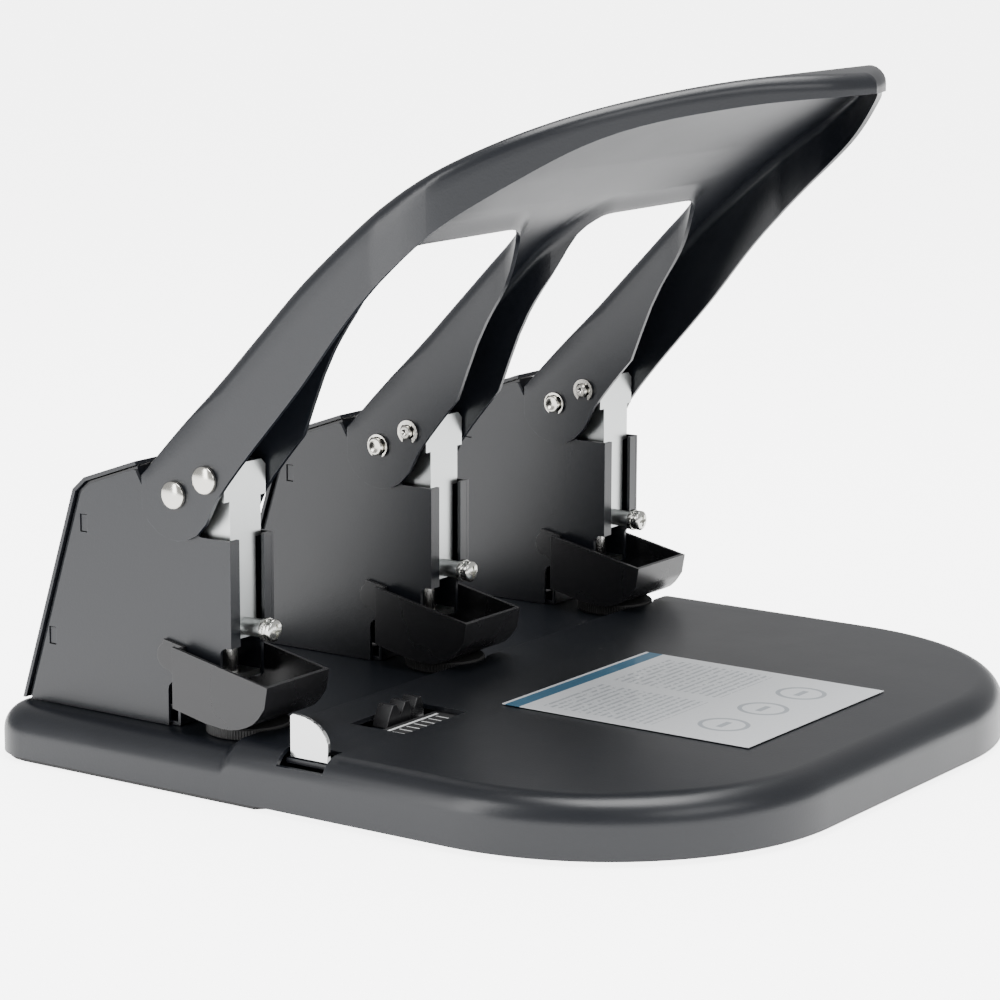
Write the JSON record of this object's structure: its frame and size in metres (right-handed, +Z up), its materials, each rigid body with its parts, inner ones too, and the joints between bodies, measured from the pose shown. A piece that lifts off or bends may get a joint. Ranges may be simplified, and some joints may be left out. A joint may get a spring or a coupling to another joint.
{
  "type": "hole punch",
  "caption": "Heavy duty paper punch: a pressed base with punch towers, hollow pins, chip trays, cutting discs, a side guide and a spring-returned lever handle.",
  "frame": {"origin": "middle of the base's footprint, on the surface it stands on", "axes": "+Z up, -Y to the front where the paper goes in and the lever reaches, +X to the right along the row of punch heads"},
  "size_m": [0.265, 0.273, 0.2293],
  "materials": {
    "black_powder_coat": "satin, fine texture",
    "black_plastic": "semi-gloss",
    "black_plastic_matte": "matte",
    "liner_rubber": "matte",
    "zinc_plate": "zinc plated, satin",
    "bright_steel": "polished",
    "chrome": "polished",
    "label_white": "printed label"
  },
  "bodies": {
    "base": {"base_pan": "black_powder_coat", "liner_rear": "liner_rubber", "liner_front": "liner_rubber", "label": "label_white", "scale_strip": "black_plastic_matte", "side_plate_left_1": "black_powder_coat", "side_plate_right_1": "black_powder_coat", "back_strip_1": "black_powder_coat", "paper_stop_1": "black_powder_coat", "pin_guide_1": "zinc_plate", "pivot_pin_1": "bright_steel", "pivot_clip_1": "bright_steel", "return_spring_1": "bright_steel", "side_plate_left_2": "black_powder_coat", "side_plate_right_2": "black_powder_coat", "back_strip_2": "black_powder_coat", "paper_stop_2": "black_powder_coat", "pin_guide_2": "zinc_plate", "pivot_pin_2": "bright_steel", "pivot_clip_2": "bright_steel", "return_spring_2": "bright_steel", "side_plate_left_3": "black_powder_coat", "side_plate_right_3": "black_powder_coat", "back_strip_3": "black_powder_coat", "paper_stop_3": "black_powder_coat", "pin_guide_3": "zinc_plate", "pivot_pin_3": "bright_steel", "pivot_clip_3": "bright_steel", "return_spring_3": "bright_steel"},
    "lever": {"handle": "black_powder_coat", "drive_pin_1": "bright_steel", "drive_clip_1": "bright_steel", "drive_pin_2": "bright_steel", "drive_clip_2": "bright_steel", "drive_pin_3": "bright_steel", "drive_clip_3": "bright_steel"},
    "punch_1": {"driver_1": "zinc_plate", "punch_pin_1": "bright_steel", "clamp_screw_1": "zinc_plate", "screw_washer_1": "zinc_plate"},
    "tray_1": {"chip_tray_1": "black_plastic"},
    "disc_1": {"cutting_disc_1": "black_plastic_matte"},
    "punch_2": {"driver_2": "zinc_plate", "punch_pin_2": "bright_steel", "clamp_screw_2": "zinc_plate", "screw_washer_2": "zinc_plate"},
    "tray_2": {"chip_tray_2": "black_plastic"},
    "disc_2": {"cutting_disc_2": "black_plastic_matte"},
    "punch_3": {"driver_3": "zinc_plate", "punch_pin_3": "bright_steel", "clamp_screw_3": "zinc_plate", "screw_washer_3": "zinc_plate"},
    "tray_3": {"chip_tray_3": "black_plastic"},
    "disc_3": {"cutting_disc_3": "black_plastic_matte"},
    "side_guide": {"guide_plate": "chrome", "guide_bar": "black_powder_coat", "guide_rivet": "chrome", "guide_thumb": "black_plastic"}
  },
  "joints": [
    {"name": "lever_swing", "type": "hinge", "parent": "base", "child": "lever", "pos_m": [0, 0.0622, 0.0948], "axis": [1, 0, 0], "range_deg": [0, 50], "stiffness_Nm_per_rad": 1.5, "springref_deg": -45.84},
    {"name": "punch_stroke_1", "type": "slide", "parent": "base", "child": "punch_1", "axis": [0, 0, -1], "range_m": [0, 0.0121]},
    {"name": "tray_lift_1", "type": "hinge", "parent": "base", "child": "tray_1", "pos_m": [-0.10795, 0.0665, 0.0415], "axis": [-1, 0, 0], "range_deg": [0, 12]},
    {"name": "disc_turn_1", "type": "hinge", "parent": "base", "child": "disc_1", "pos_m": [-0.10795, 0.0435, 0.018], "axis": [0, 0, 1], "continuous": true},
    {"name": "punch_stroke_2", "type": "slide", "parent": "base", "child": "punch_2", "axis": [0, 0, -1], "range_m": [0, 0.0121]},
    {"name": "tray_lift_2", "type": "hinge", "parent": "base", "child": "tray_2", "pos_m": [0, 0.0665, 0.0415], "axis": [-1, 0, 0], "range_deg": [0, 12]},
    {"name": "disc_turn_2", "type": "hinge", "parent": "base", "child": "disc_2", "pos_m": [0, 0.0435, 0.018], "axis": [0, 0, 1], "continuous": true},
    {"name": "punch_stroke_3", "type": "slide", "parent": "base", "child": "punch_3", "axis": [0, 0, -1], "range_m": [0, 0.0121]},
    {"name": "tray_lift_3", "type": "hinge", "parent": "base", "child": "tray_3", "pos_m": [0.10795, 0.0665, 0.0415], "axis": [-1, 0, 0], "range_deg": [0, 12]},
    {"name": "disc_turn_3", "type": "hinge", "parent": "base", "child": "disc_3", "pos_m": [0.10795, 0.0435, 0.018], "axis": [0, 0, 1], "continuous": true},
    {"name": "guide_slide", "type": "slide", "parent": "base", "child": "side_guide", "axis": [1, 0, 0], "range_m": [-0.0095, 0.0035]}
  ],
  "couplings": [
    {"joint": "punch_stroke_1", "follows": "lever_swing", "m_per_rad": 0.01375},
    {"joint": "punch_stroke_2", "follows": "lever_swing", "m_per_rad": 0.01375},
    {"joint": "punch_stroke_3", "follows": "lever_swing", "m_per_rad": 0.01375}
  ]
}
